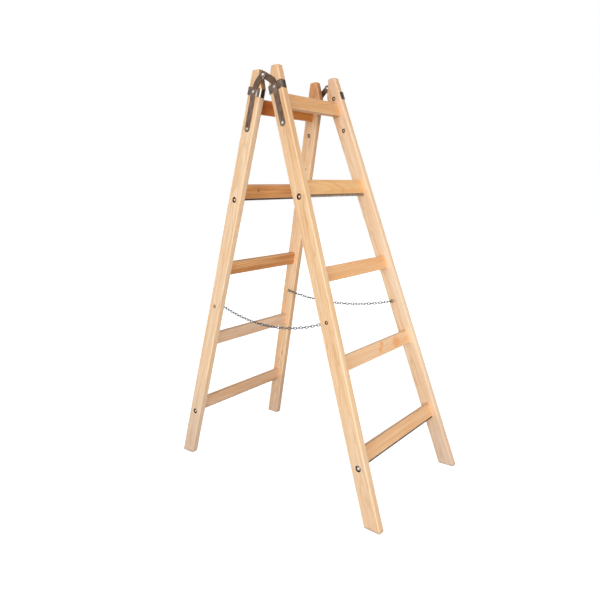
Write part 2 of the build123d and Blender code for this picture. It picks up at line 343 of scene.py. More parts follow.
def finish_piece(name, node, body, material, mesh):
    """Put a mesh in the scene as a piece of the ladder."""
    made = bpy.data.objects.new(name, mesh)
    bpy.context.scene.collection.objects.link(made)
    made.data.materials.clear()
    made.data.materials.append(material)
    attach(made, body)
    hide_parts(node)
    return made


def eased_copy(node, body, material):
    """A pressed steel part of the frame with its edges eased by a small bevel."""
    mesh = cad_nodes[node].data.copy()
    tidy_mesh(mesh)
    made = finish_piece(node + "_eased", node, body, material, mesh)
    bevel = made.modifiers.new("eased_edges", "BEVEL")
    bevel.width = edge_easing
    bevel.segments = 2
    bevel.limit_method = "ANGLE"
    bevel.angle_limit = eased_corner


# Finishes


def colour(red, green, blue):
    """Linear colour from screen values of 0 to 255."""
    screen = np.array([red, green, blue]) / 255
    linear = np.where(screen <= 0.04045, screen / 12.92, ((screen + 0.055) / 1.055) ** 2.4)
    return (*linear.tolist(), 1.0)


class Wiring:
    """Adds shader nodes to a tree.

    An input is wired where it is given a socket, and set where it is given a value.
    """

    def __init__(self, tree):
        self.tree = tree

    def feed(self, socket, value):
        """Wire or set one socket."""
        if isinstance(value, bpy.types.NodeSocket):
            self.tree.links.new(value, socket)
        else:
            socket.default_value = value

    def add(self, kind, given, out=0, **settings):
        """A node of a kind with its inputs given, and one of its outputs."""
        node = self.tree.nodes.new("ShaderNode" + kind)
        for key, value in settings.items():
            setattr(node, key, value)
        for key, value in given.items():
            self.feed(node.inputs[key], value)
        return node.outputs[out]

    def math(self, operation, first, second=0.0, third=0.0):
        """One step of arithmetic on up to three numbers."""
        return self.add("Math", {0: first, 1: second, 2: third}, operation=operation)

    def vector(self, operation, first, second):
        """One step of arithmetic on two vectors."""
        return self.add("VectorMath", {0: first, 1: second}, operation=operation)

    def scaled(self, vector, factor):
        """A vector times a number."""
        return self.add("VectorMath", {0: vector, "Scale": factor}, operation="SCALE")

    def length(self, vector):
        """The length of a vector."""
        return self.add("VectorMath", {0: vector}, out="Value", operation="LENGTH")

    def part(self, vector, axis):
        """One coordinate of a vector."""
        return self.add("SeparateXYZ", {0: vector}, out=axis)

    def noise(self, vector, scale, detail=2.0, roughness=0.5, out=0):
        """Noise at a vector, with its own scale along each axis."""
        given = {"Vector": self.vector("MULTIPLY", vector, scale), "Scale": 1.0}
        return self.add("TexNoise", given | {"Detail": detail, "Roughness": roughness}, out=out)

    def ramp(self, value, low, high, start=0.0, end=1.0):
        """A smooth step from start to end as a value goes from low to high."""
        given = {"Value": value, "From Min": low, "From Max": high, "To Min": start, "To Max": end}
        return self.add("MapRange", given, interpolation_type="SMOOTHSTEP")

    def blend(self, factor, first, second, kind="MIX"):
        """A mix of two colours."""
        given = {0: factor, 6: first, 7: second}
        return self.add("Mix", given, out=2, data_type="RGBA", blend_type=kind)

    def group(self, tree, **given):
        """A node group with its inputs given by name, and all its outputs."""
        node = self.tree.nodes.new("ShaderNodeGroup")
        node.node_tree = tree
        for key, value in given.items():
            self.feed(node.inputs[key.replace("_", " ").title()], value)
        return node.outputs


def shader_group(name, inputs, outputs):
    """An empty node group with named sockets, the wiring for it, and its inputs and outputs."""
    tree = bpy.data.node_groups.new(name, "ShaderNodeTree")
    for way, sockets in (("INPUT", inputs), ("OUTPUT", outputs)):
        for label, kind in sockets.items():
            tree.interface.new_socket(name=label, in_out=way, socket_type="NodeSocket" + kind)
    entry = tree.nodes.new("NodeGroupInput")
    leave = tree.nodes.new("NodeGroupOutput")
    return tree, Wiring(tree), entry.outputs, leave.inputs


def pine_grain_group():
    """Grain of a pine board whose X lies across it, Y through it and Z along it, in millimetres.

    Year rings are the distance from the tree's pith, which wanders and runs out of line with the board.
    Over them lie broad soft bands, a blush that comes and goes, fine streaks, fibres and resin dashes.
    """
    inputs = {
        "Board": "Vector",
        "Seed": "Float",
        "Pith": "Vector",
        "Run Out": "Vector",
        "Ring Width": "Float",
        "Ring Depth": "Float",
        "Knot Swirl": "Float",
        "Knot Core": "Float",
        "Heart Line": "Float",
        "Heart Share": "Float",
        "Warm Level": "Float",
        "Warm Reach": "Float",
        "Warm Share": "Float",
        "Sapwood": "Color",
        "Heartwood": "Color",
        "Latewood": "Color",
        "Knotwood": "Color",
    }
    outputs = {"Colour": "Color", "Roughness": "Float", "Height": "Float"}
    tree, w, given, result = shader_group("pine_grain", inputs, outputs)

    # The noises: how far a seed moves them, and their scales per millimetre of the board or per year.
    # Two of them, taken about their middle, make the pith wander.
    seed_step = (41.0, 67.0, 983.0)
    broad_scale = (0.011, 0.011, 0.0014)
    broad_wander = (16.0, 16.0, 0.0)
    fine_scale = (0.05, 0.05, 0.009)
    fine_wander = (7.0, 7.0, 0.0)
    year_scale = (0.37, 7.3, 1.0)
    band_scale = (0.062, 0.062, 0.0026)
    blush_scale = (0.028, 0.028, 0.0075)
    streak_scale = (0.24, 0.24, 0.0045)
    fibre_scale = (2.3, 2.3, 0.03)
    dash_scale = (1.3, 1.3, 0.055)
    noise_middle = (0.5, 0.5, 0.5)

    # Steps over the noises: from where to where, and between which values where these aren't 0 and 1
    good_year_step = (0.3, 0.7, 0.2, 1.0)
    dash_step = (0.66, 0.74)
    heart_step = (0.38, 0.66)
    blush_step = (0.4, 0.68)
    warm_step = (0.0, 2.0)
    streak_step = (0.25, 0.75, 0.95, 1.04)
    fibre_step = (0.2, 0.8, 0.96, 1.03)

    board = given["Board"]
    seeded = w.vector("ADD", board, w.scaled(seed_step, given["Seed"]))
    across = w.part(board, "X")
    along = w.part(board, "Z")

    # Year rings, darker and harder towards the end of each year
    year_skew = 0.7
    late_power = 3.0
    broad = w.noise(seeded, broad_scale, detail=1.0, out="Color")
    broad = w.vector("MULTIPLY", w.vector("SUBTRACT", broad, noise_middle), broad_wander)
    fine = w.noise(seeded, fine_scale, out="Color")
    fine = w.vector("MULTIPLY", w.vector("SUBTRACT", fine, noise_middle), fine_wander)
    drift = w.vector("ADD", broad, fine)
    pith = w.vector("ADD", given["Pith"], w.scaled(given["Run Out"], along))
    spoke = w.vector("ADD", w.vector("SUBTRACT", board, pith), drift)
    radius = w.length(w.vector("MULTIPLY", spoke, (1.0, 1.0, 0.0)))
    years = w.math("ADD", w.math("DIVIDE", radius, given["Ring Width"]), given["Knot Swirl"])
    turns = w.math("MULTIPLY", years, 2 * pi)
    skewed = w.math("MULTIPLY_ADD", w.math("SINE", turns), year_skew, turns)
    wave = w.math("MULTIPLY_ADD", w.math("SINE", skewed), 0.5, 0.5)
    late = w.math("POWER", wave, late_power)
    good_years = w.noise(w.add("CombineXYZ", {0: years, 1: given["Seed"]}), year_scale, detail=1.0)
    late = w.math("MULTIPLY", late, w.ramp(good_years, *good_year_step))
    late = w.math("MULTIPLY", late, given["Ring Depth"])

    # What lies along the board
    band = w.noise(seeded, band_scale)
    blush = w.noise(seeded, blush_scale)
    streak = w.noise(seeded, streak_scale)
    fibre = w.noise(seeded, fibre_scale)
    dashes = w.ramp(w.noise(seeded, dash_scale, detail=1.0), *dash_step)

    # Colour: heartwood below a wavering line and in bands, late wood, blush, the warm end and fine lines
    heart_waver = 18.0
    heart_fade = 3.0
    warm_waver = 2.0
    dash_share = 0.16
    heart_edge = w.math("MULTIPLY_ADD", w.math("SUBTRACT", band, 0.5), heart_waver, across)
    heart = w.ramp(w.math("SUBTRACT", heart_edge, given["Heart Line"]), heart_fade, -heart_fade)
    heart = w.math("MULTIPLY", heart, given["Heart Share"])
    heart = w.math("MAXIMUM", heart, w.ramp(band, *heart_step))
    shade = w.blend(heart, given["Sapwood"], given["Heartwood"])
    shade = w.blend(late, shade, given["Latewood"])
    shade = w.blend(w.ramp(blush, *blush_step), shade, rosy_tint, "MULTIPLY")
    warm_edge = w.math("DIVIDE", w.math("SUBTRACT", along, given["Warm Level"]), given["Warm Reach"])
    warm = w.ramp(w.math("MULTIPLY_ADD", band, warm_waver, warm_edge), *warm_step)
    shade = w.blend(w.math("MULTIPLY", warm, given["Warm Share"]), shade, warm_tint, "MULTIPLY")
    shade = w.blend(1.0, shade, w.ramp(streak, *streak_step), "MULTIPLY")
    shade = w.blend(1.0, shade, w.ramp(fibre, *fibre_step), "MULTIPLY")
    shade = w.blend(w.math("MULTIPLY", dashes, dash_share), shade, given["Knotwood"])
    shade = w.blend(given["Knot Core"], shade, given["Knotwood"])
    w.feed(result["Colour"], shade)

    # Gloss and relief: late wood is smoother and stands up, fibres stand a little, dashes are sunk
    plain_roughness = 0.46
    fibre_roughness = 0.16
    late_roughness = -0.08
    late_height = 0.5
    fibre_height = 0.6
    dash_height = -0.4
    rough = w.math("MULTIPLY_ADD", fibre, fibre_roughness, plain_roughness)
    w.feed(result["Roughness"], w.math("MULTIPLY_ADD", late, late_roughness, rough))
    ridge = w.math("MULTIPLY_ADD", late, late_height, w.math("MULTIPLY", fibre, fibre_height))
    w.feed(result["Height"], w.math("MULTIPLY_ADD", dashes, dash_height, ridge))
    return tree


def pin_knot_group():
    """Small knot or mark in a board, in millimetres.

    Year rings swirl round it by a bell curve of the distance, and its core has a ragged edge.
    """
    inputs = {
        "Board": "Vector",
        "Centre": "Vector",
        "Spread": "Vector",
        "Size": "Float",
        "Depth": "Float",
        "Years": "Float",
    }
    outputs = {"Swirl": "Float", "Core": "Float"}
    tree, w, given, result = shader_group("pin_knot", inputs, outputs)
    bell_rate = -0.16
    ragged_scale = (0.35, 0.35, 0.2)
    core_rim = 1.75
    core_full = 0.9
    reach = w.vector("MULTIPLY", w.vector("SUBTRACT", given["Board"], given["Centre"]), given["Spread"])
    share = w.math("DIVIDE", w.length(reach), given["Size"])
    ragged = w.math("ADD", share, w.noise(given["Board"], ragged_scale))
    square = w.math("MULTIPLY", share, share)
    bell = w.math("EXPONENT", w.math("MULTIPLY", square, bell_rate))
    w.feed(result["Swirl"], w.math("MULTIPLY", bell, given["Years"]))
    w.feed(result["Core"], w.math("MULTIPLY", w.ramp(ragged, core_rim, core_full), given["Depth"]))
    return tree


def foot_darkening_group():
    """Darkening that fades up from the floor in patches, and a greyer band over the last few millimetres,
    in metres.
    """
    inputs = {"Place": "Vector", "Share": "Float"}
    outputs = {"Darkening": "Float", "Scuff": "Float"}
    tree, w, given, result = shader_group("foot_grime", inputs, outputs)
    patch_scale = (28.0, 28.0, 9.0)
    darkening_top = 0.42
    darkening_full = -0.02
    darkening_waver = 0.25
    bottom_band_top = 0.011
    bottom_band_full = 0.002
    bottom_band_waver = 0.02
    bottom_band_share = 0.6
    height = w.part(given["Place"], "Z")
    patches = w.math("SUBTRACT", w.noise(given["Place"], patch_scale, detail=3.0), 0.5)
    level = w.math("MULTIPLY_ADD", patches, darkening_waver, height)
    w.feed(result["Darkening"], w.math("MULTIPLY", w.ramp(level, darkening_top, darkening_full), given["Share"]))
    ragged = w.math("MULTIPLY_ADD", patches, bottom_band_waver, height)
    w.feed(result["Scuff"], w.ramp(ragged, bottom_band_top, bottom_band_full, 0.0, bottom_band_share))
    return tree


def edge_highlight_group():
    """Painted highlight along a bar's rounded edges, made uneven along them.

    The nearness to its side and to its face are taken together, as the lesser of the two.
    """
    inputs = {"Place": "Vector", "Half Width": "Float", "Half Depth": "Float", "Rounding": "Float"}
    tree, w, given, result = shader_group("edge_highlight", inputs, {"Mask": "Float"})
    uneven_scale = (0.2, 0.2, 0.045)
    uneven_share = 0.3
    highlight_step = (0.04, 0.4)

    def past(axis, half):
        """How far a coordinate lies past the start of the rounding."""
        distance = w.math("ABSOLUTE", w.part(given["Place"], axis))
        return w.math("SUBTRACT", distance, w.math("SUBTRACT", given[half], given["Rounding"]))

    both = w.math("MINIMUM", past("X", "Half Width"), past("Y", "Half Depth"))
    share = w.math("DIVIDE", both, given["Rounding"])
    uneven = w.noise(given["Place"], uneven_scale, detail=3.0)
    level = w.math("MULTIPLY_ADD", w.math("SUBTRACT", uneven, 0.5), uneven_share, share)
    w.feed(result["Mask"], w.ramp(level, *highlight_step))
    return tree


def recess_shade_group():
    """Painted shade inside a round recess sunk from one face: near its axis, and deeper than that face."""
    inputs = {"Board": "Vector", "Centre": "Vector", "Radius": "Float", "Side": "Float", "Face": "Float"}
    tree, w, given, result = shader_group("recess_shade", inputs, {"Mask": "Float"})
    margin = 1.5
    clean_depth = 0.1
    full_depth = 2.2
    back = -2.0
    reach = w.vector("SUBTRACT", given["Board"], given["Centre"])
    distance = w.length(w.vector("MULTIPLY", reach, (1.0, 0.0, 1.0)))
    near = w.math("LESS_THAN", distance, w.math("ADD", given["Radius"], margin))
    through = w.math("MULTIPLY", w.part(given["Board"], "Y"), given["Side"])
    sunk = w.ramp(w.math("SUBTRACT", given["Face"], through), clean_depth, full_depth)
    above_back = w.math("GREATER_THAN", through, back)
    w.feed(result["Mask"], w.math("MULTIPLY", w.math("MULTIPLY", near, sunk), above_back))
    return tree


def sawn_and_shaded_face_group():
    """Darkened face, for saw-cut wood and for painted shade: what lies within a millimetre of a plane, by
    its distance along the normal.
    """
    inputs = {"Board": "Vector", "Corner": "Vector", "Normal": "Vector"}
    tree, w, given, result = shader_group("sawn_and_shaded_face", inputs, {"Mask": "Float"})
    skin_step = (-1.0, -0.4)
    reach = w.vector("SUBTRACT", given["Board"], given["Corner"])
    distance = w.add("VectorMath", {0: reach, 1: given["Normal"]}, out="Value", operation="DOT_PRODUCT")
    w.feed(result["Mask"], w.ramp(distance, *skin_step))
    return tree


def worn_metal_group():
    """Worn plated or drawn steel, in millimetres: cloudy tarnish, lines drawn along Z and rubbed spots."""
    inputs = {
        "Place": "Vector",
        "Seed": "Float",
        "Polish": "Float",
        "Plain": "Color",
        "Tarnish": "Color",
        "Rubbed": "Color",
    }
    outputs = {"Colour": "Color", "Roughness": "Float", "Height": "Float"}
    tree, w, given, result = shader_group("worn_metal", inputs, outputs)
    seed_step = (31.0, 57.0, 83.0)
    cloud_scale = (0.11, 0.11, 0.05)
    drawn_scale = (1.9, 1.9, 0.05)
    spot_scale = (0.55, 0.55, 0.4)
    cloud_step = (0.36, 0.68)
    spot_step = (0.6, 0.76, 0.0, 0.6)
    drawn_step = (0.2, 0.8, 0.86, 1.1)
    spot_height = 0.6
    cloud_waver = 0.22
    drawn_waver = 0.12
    seeded = w.vector("ADD", given["Place"], w.scaled(seed_step, given["Seed"]))
    cloud = w.noise(seeded, cloud_scale, detail=4.0, roughness=0.6)
    drawn = w.noise(seeded, drawn_scale)
    spots = w.noise(seeded, spot_scale, detail=3.0, roughness=0.65)
    shade = w.blend(w.ramp(cloud, *cloud_step), given["Plain"], given["Tarnish"])
    shade = w.blend(w.ramp(spots, *spot_step), shade, given["Rubbed"])
    shade = w.blend(1.0, shade, w.ramp(drawn, *drawn_step), "MULTIPLY")
    w.feed(result["Colour"], shade)
    rough = w.math("MULTIPLY_ADD", w.math("SUBTRACT", cloud, 0.5), cloud_waver, given["Polish"])
    rough = w.math("MULTIPLY_ADD", w.math("SUBTRACT", drawn, 0.5), drawn_waver, rough)
    w.feed(result["Roughness"], rough)
    w.feed(result["Height"], w.math("MULTIPLY_ADD", spots, spot_height, drawn))
    return tree


# Tints that multiply a wood's colour, colours of marks in it and of painted highlight and shade, its gloss
# and relief, and its grain's slant
sap_share = (1.02, 1.06, 1.12)
rosy_tint = (1.0, 0.955, 0.91, 1.0)
# Tint of a board's darker warm end; on rear rungs 4 and 5 that end is painted shade
warm_tint = (0.74, 0.55, 0.42, 1.0)
# Darker tint of saw-cut faces, also used as painted shade on some stile faces
sawn_and_shade_tint = (0.52, 0.38, 0.24, 1.0)
# Pale wood laid along the rounded edges: a painted highlight
edge_highlight_wood = colour(244, 213, 172)
edge_highlight_share = 0.35
# Dark brown laid inside the recesses: painted shade
recess_shade_wood = colour(82, 43, 18)
grime = colour(200, 175, 162)
bottom_band_wood = colour(172, 156, 140)
wood_gloss = 0.3
grain_relief = 0.12 * mm
slant_spread = 0.012

pine_grain = pine_grain_group()
pin_knot = pin_knot_group()
foot_grime = foot_darkening_group()
edge_highlight = edge_highlight_group()
recess_shade = recess_shade_group()
sawn_and_shaded_face = sawn_and_shaded_face_group()
worn_metal = worn_metal_group()


def new_material(name):
    """A material with its wiring and its surface shader."""
    material = bpy.data.materials.new(name)
    material.use_nodes = True
    return material, Wiring(material.node_tree), material.node_tree.nodes["Principled BSDF"]


def millimetres_along(w, place, across, along):
    """Object coordinates turned and moved so that X lies across, Z along, with the place at the origin."""
    turn = Matrix([across, np.cross(along, across), along])
    given = {
        "Vector": w.add("TexCoord", {}, out="Object"),
        "Location": turn @ Vector(place) / -mm,
        "Rotation": turn.to_euler(),
        "Scale": (1 / mm,) * 3,
    }
    return w.add("Mapping", given)


def bump(w, surface, height, depth):
    """Relief of a given depth from a height of about 0 to 1."""
    given = {"Height": height, "Strength": 1.0, "Distance": depth}
    w.feed(surface.inputs["Normal"], w.add("Bump", given))


def wood_shades(tone, heart, late):
    """Sapwood, heartwood and latewood of a board, as shares of its overall colour."""
    shares = (sap_share, heart, late)
    return [tuple(np.array(colour(*tone)) * (*share, 1.0)) for share in shares]


def board_wood(name, axes, size, board, seed, recesses=(), darkened_faces=()):
    """Planed pine cut from its own place in the tree, with the board's marks, painted highlights on its
    edges, darkening near the floor, painted shade in its recesses, and faces darkened as saw-cut wood and
    as painted shade.
    """
    material, w, surface = new_material(name)
    place = millimetres_along(w, *axes)
    swirl, core = 0.0, 0.0
    for mark in board["marks"]:
        pin = w.group(pin_knot, board=place, **mark)
        swirl = w.math("ADD", swirl, pin["Swirl"])
        core = w.math("MAXIMUM", core, pin["Core"])
    sapwood, heartwood, latewood = wood_shades(board["tone"], board["heart"], board["late"])
    draw = np.random.default_rng(seed)
    run_out = np.sign(board["pith"][1]) * draw.uniform(*board["slope"])
    slant = board["slant"] + draw.uniform(-slant_spread, slant_spread)
    grain = w.group(
        pine_grain,
        board=place,
        seed=float(seed),
        pith=(*board["pith"], 0.0),
        run_out=(slant, run_out, 0.0),
        ring_width=draw.uniform(*board["ring_width"]),
        ring_depth=board["ring_depth"],
        knot_swirl=swirl,
        knot_core=core,
        heart_line=board["heart_line"],
        heart_share=board["heart_share"],
        warm_level=board["warm_level"],
        warm_reach=board["warm_reach"],
        warm_share=board["warm_share"],
        sapwood=sapwood,
        heartwood=heartwood,
        latewood=latewood,
        knotwood=board["knot_wood"],
    )
    width, depth, rounding = np.array(size) / mm
    # Painted highlight along the rounded edges
    edges = w.group(edge_highlight, place=place, half_width=width / 2, half_depth=depth / 2, rounding=rounding)
    shade = w.blend(w.math("MULTIPLY", edges["Mask"], edge_highlight_share), grain["Colour"], edge_highlight_wood)
    # Darker and greyer towards the floor in patches, and in a band along the bottom
    if "grime" in board:
        foot = w.group(foot_grime, place=w.add("TexCoord", {}, out="Object"), share=board["grime"])
        shade = w.blend(foot["Darkening"], shade, grime)
        shade = w.blend(foot["Scuff"], shade, bottom_band_wood)
    for face in darkened_faces:
        end = w.group(sawn_and_shaded_face, board=place, **face)
        share = w.math("MULTIPLY", end["Mask"], board["sawn_and_shade_share"])
        shade = w.blend(share, shade, sawn_and_shade_tint, "MULTIPLY")
    # Painted shade inside the recesses
    for recess in recesses:
        sunk = w.group(recess_shade, board=place, face=depth / 2, **recess)
        shade = w.blend(sunk["Mask"], shade, recess_shade_wood)
    w.feed(surface.inputs["Base Color"], shade)
    w.feed(surface.inputs["Roughness"], grain["Roughness"])
    surface.inputs["Specular IOR Level"].default_value = wood_gloss
    bump(w, surface, grain["Height"], grain_relief)
    return material


steel_relief = 0.03 * mm
upright_axes = (np.zeros(3), np.array([1.0, 0, 0]), np.array([0, 0, 1.0]))
rung_line_axes = (np.zeros(3), np.array([0, 0, 1.0]), np.array([1.0, 0, 0]))


def metal(name, tones, polish, seed, axes=upright_axes, metallic=1.0, gloss=0.5, places=()):
    """Steel with its drawn lines along the axes given.

    Tones are its plain, tarnished and rubbed colours.
    Places are colours with functions that make their masks.
    """
    material, w, surface = new_material(name)
    place = millimetres_along(w, *axes)
    plain, tarnish, rubbed = tones
    worn = w.group(
        worn_metal,
        place=place,
        seed=float(seed),
        polish=polish,
        plain=plain,
        tarnish=tarnish,
        rubbed=rubbed,
    )
    shade = worn["Colour"]
    for tone, mask in places:
        shade = w.blend(mask(w, place), shade, tone)
    w.feed(surface.inputs["Base Color"], shade)
    w.feed(surface.inputs["Roughness"], worn["Roughness"])
    surface.inputs["Metallic"].default_value = metallic
    surface.inputs["Specular IOR Level"].default_value = gloss
    bump(w, surface, worn["Height"], steel_relief)
    return material


# Tones of the steel, and colours of places on it, several of them painted light and shade
hinge_tones = (colour(126, 104, 90), colour(96, 78, 66), colour(166, 149, 136))
clip_tones = (colour(121, 104, 91), colour(86, 74, 65), colour(151, 136, 124))
zinc_tones = (colour(186, 181, 178), colour(146, 141, 138), colour(226, 222, 218))
cold_zinc_tones = (colour(142, 154, 154), colour(106, 118, 118), colour(206, 218, 218))
# Brown of rod nuts in the recesses: painted shade and a painted warm reflection from the wood
shaded_brown_tones = (colour(116, 90, 68), colour(84, 62, 44), colour(164, 138, 114))
# Dark brown of the nuts and washers sunk in recesses: painted shade
shaded_nut_tones = (colour(128, 80, 40), colour(108, 64, 31), colour(154, 104, 60))
dark_rod_tones = (colour(92, 76, 66), colour(60, 48, 41), colour(134, 120, 110))
# Lighter copy of the rod tones: a painted highlight
highlighted_rod_tones = (colour(158, 140, 128), colour(116, 100, 90), colour(206, 192, 182))
left_chain_tones = (colour(98, 104, 112), colour(68, 73, 80), colour(204, 210, 216))
right_chain_tones = (colour(92, 95, 98), colour(66, 69, 72), colour(178, 180, 182))
# Pale warm zinc on the right-hand eye bolts: painted light
right_lit_zinc = colour(238, 204, 170)
# Pale warm zinc on bolt tips in the recesses: painted light and a painted warm reflection from the wood
warm_lit_tip_zinc = colour(230, 192, 156)
# Bare steel at the front lower rod's tips; the same colour is a painted highlight on the rear clips
bare_steel_and_highlight = colour(228, 224, 218)
shaded_brown_steel = shaded_brown_tones[0]
# Beige rod tips: a painted warm reflection from the wood
warm_reflection_tip = colour(222, 194, 170)
# Light steel on the rim of the rear arms' rounded ends: a painted highlight
rim_highlight_steel = colour(160, 148, 138)
# Darker steel on the strap arms: painted shade
arm_shade_steel = colour(94, 74, 61)
dark_steel = colour(60, 50, 46)

# Depths behind a stile's outer face over which a mask grows, in millimetres
bolt_tip_depths = (12.0, 15.0)
eye_tip_depths = (9.0, 6.0)
clip_arm_depths = {"front": (3.0, 14.0), "rear": (-1.0, 1.0)}


def right_side(w, place):
    """Mask of what sits on the ladder's right."""
    fade = 50.0
    return w.ramp(w.part(place, "X"), -fade, fade)


def high_up(w, place):
    """Mask of what sits well above the floor."""
    start = 300.0
    end = 700.0
    return w.ramp(w.part(place, "Z"), start, end)


def behind_outer_face(start, end):
    """Mask that grows between two depths behind the stiles' outer faces, measured square to them."""

    def mask(w, place):
        fall = -tan(splay) / cos(lean)
        inward = w.math("MULTIPLY_ADD", w.part(place, "Z"), fall, foot_width / 2 / mm)
        depth = w.math("SUBTRACT", inward, w.math("ABSOLUTE", w.part(place, "X")))
        return w.ramp(w.math("MULTIPLY", depth, cos(splay)), start, end)

    return mask


zinc = metal("bright_zinc", zinc_tones, polish=0.26, seed=1)
# Bolt tips in the recesses are pale and warm: painted light
bolt_places = [(warm_lit_tip_zinc, behind_outer_face(*bolt_tip_depths))]
bolt_zinc = metal("strap_bolt_zinc", zinc_tones, polish=0.26, seed=1, metallic=0.4, places=bolt_places)
# Dark brown nuts and washers in the recesses: painted shade
shaded_nut_zinc = metal("shaded_nut_zinc", shaded_nut_tones, polish=0.6, seed=2, metallic=0.0, gloss=0.05)
# The right-hand eye bolts are pale and warm, and the tips too: painted light
eye_places = [(right_lit_zinc, right_side), (warm_lit_tip_zinc, behind_outer_face(*eye_tip_depths))]
eye_zinc = metal("eye_bolt_zinc", zinc_tones, polish=0.3, seed=7, metallic=0.4, places=eye_places)
# The upper front rod nuts and all the rear ones are brown: painted shade and a painted warm reflection from
# the wood
nut_places = [(shaded_brown_steel, high_up)]
rod_nut_zinc = {
    "front": metal("part_shaded_brown_zinc", cold_zinc_tones, polish=0.3, seed=3, places=nut_places),
    "rear": metal("shaded_brown_zinc", shaded_brown_tones, polish=0.4, seed=4),
}
chain_steel = {
    "left": metal("welded_chain_steel", left_chain_tones, polish=0.32, seed=5),
    "right": metal("bright_chain_steel", right_chain_tones, polish=0.32, seed=6),
}


# Boards


def knot(across, along, size, stretch, depth, years, through=0.1):
    """A mark in a board, in millimetres.

    It is a knot's end, or a streak where its stretch along the grain is long.
    """
    spread = (1.0, through, 1 / stretch)
    return dict(centre=(across, 0.0, along), spread=spread, size=size, depth=depth, years=years)


# What a board is unless its own entry says otherwise. Places are in millimetres.
# heart and late are shares of the overall colour, slope and slant the grain's run out of the board's line.
# The heartwood lies below heart_line across the board, and the warm end past warm_level along it.
# A way of -1 turns a board's grain end for end.
plain_board = dict(
    heart=(0.97, 0.91, 0.84),
    late=(0.78, 0.60, 0.44),
    slant=0.0,
    heart_line=0.0,
    heart_share=0.0,
    warm_level=0.0,
    warm_reach=110.0,
    warm_share=0.0,
    knot_wood=colour(150, 92, 48),
    marks=(),
    # The cut-back top face is darkened a little as saw-cut wood; a larger share there, and a darkened
    # narrow inner face, are painted shade
    shaded_inner_edge=False,
    sawn_and_shade_share=0.25,
    way=1,
)
plain_stile = plain_board | dict(slope=(0.01, 0.02), ring_width=(2.3, 3.3), ring_depth=0.62)
plain_rung = plain_board | dict(slope=(0.02, 0.05), ring_width=(3.0, 4.2), ring_depth=0.7)

# The boards' own entries: overall colour, pith across and through, and what marks each one
stile_boards = {
    ("front", "left"): dict(
        tone=(241, 205, 163),
        pith=(6.0, 62.0),
        grime=0.15,
        warm_level=1200.0,
        warm_share=0.4,
    ),
    ("front", "right"): dict(
        tone=(247, 217, 183),
        pith=(-12.0, -55.0),
        grime=0.45,
        warm_level=1290.0,
        warm_share=0.6,
    ),
    ("rear", "left"): dict(
        tone=(241, 209, 172),
        pith=(10.0, -70.0),
        grime=0.5,
        warm_level=1340.0,
        warm_share=0.2,
        # Its cut-back top face is darkened fully: painted shade
        sawn_and_shade_share=1.0,
        marks=[knot(-25.0, 646.0, 1.2, 18.0, 0.6, 0.4, through=0.0)],
    ),
    ("rear", "right"): dict(
        tone=(250, 211, 168),
        pith=(-8.0, 58.0),
        grime=0.5,
        warm_level=1352.0,
        warm_reach=28.0,
        warm_share=0.9,
        # Its narrow inner face is darkened: painted shade
        shaded_inner_edge=True,
        sawn_and_shade_share=0.3,
        marks=[
            knot(-6.9, 1142.7, 3.2, 1.6, 0.85, 4.0),
            knot(27.6, 1203.7, 3.0, 1.4, 0.9, 3.0),
            knot(-11.6, 325.0, 2.8, 7.0, 0.8, 1.0),
        ],
    ),
}
rung_boards = {
    ("front", 1): dict(tone=(238, 192, 145), pith=(34.0, 48.0), ring_depth=0.45),
    ("front", 2): dict(
        tone=(243, 202, 160),
        pith=(-4.0, 30.0),
        late=(0.98, 0.72, 0.40),
        knot_wood=colour(242, 152, 66),
        slant=0.15,
        ring_width=(5.0, 6.0),
        ring_depth=1.0,
        marks=[
            knot(12.0, 26.0, 12.0, 0.9, 0.65, 0.3),
            knot(-3.0, 12.0, 12.0, 0.9, 0.65, 0.3),
            knot(0.0, 114.0, 20.0, 1.3, 0.6, 0.5),
        ],
    ),
    ("front", 3): dict(tone=(244, 190, 136), pith=(30.0, 36.0)),
    ("front", 4): dict(
        tone=(241, 191, 132),
        pith=(-6.0, 34.0),
        late=(0.86, 0.62, 0.38),
        ring_width=(6.0, 7.0),
        ring_depth=0.9,
        marks=[knot(4.0, 120.0, 16.0, 3.0, 0.0, 1.8)],
    ),
    ("front", 5): dict(tone=(232, 181, 129), pith=(22.0, -46.0), ring_depth=0.5),
    ("rear", 1): dict(tone=(236, 192, 152), pith=(-16.0, 50.0), ring_depth=0.5),
    ("rear", 2): dict(tone=(239, 203, 171), pith=(18.0, -42.0), ring_depth=0.5),
    ("rear", 3): dict(
        tone=(249, 190, 128),
        pith=(-28.0, 38.0),
        heart=(0.66, 0.50, 0.37),
        late=(0.52, 0.37, 0.24),
        heart_line=-4.0,
        heart_share=0.95,
        slope=(0.0, 0.012),
        ring_width=(5.0, 6.0),
        ring_depth=1.0,
    ),
    ("rear", 4): dict(
        tone=(246, 182, 116),
        pith=(39.0, 27.0),
        heart=(0.76, 0.62, 0.48),
        late=(0.55, 0.40, 0.27),
        ring_width=(5.0, 6.0),
        # Its darker warm end is painted shade from the front left stile
        warm_level=60.0,
        warm_share=0.4,
        knot_wood=colour(168, 92, 44),
        marks=[knot(5.6, -86.0, 9.0, 0.8, 0.55, 0.6)],
    ),
    ("rear", 5): dict(
        tone=(236, 156, 72),
        pith=(-24.0, -40.0),
        heart=(0.84, 0.70, 0.55),
        way=-1,
        # Its darker warm left part is painted shade
        warm_level=20.0,
        warm_share=1.0,
    ),
}


def paint(node, material):
    """Give a node of the frame its finish."""
    slots = cad_nodes[node].data.materials
    slots.clear()
    slots.append(material)


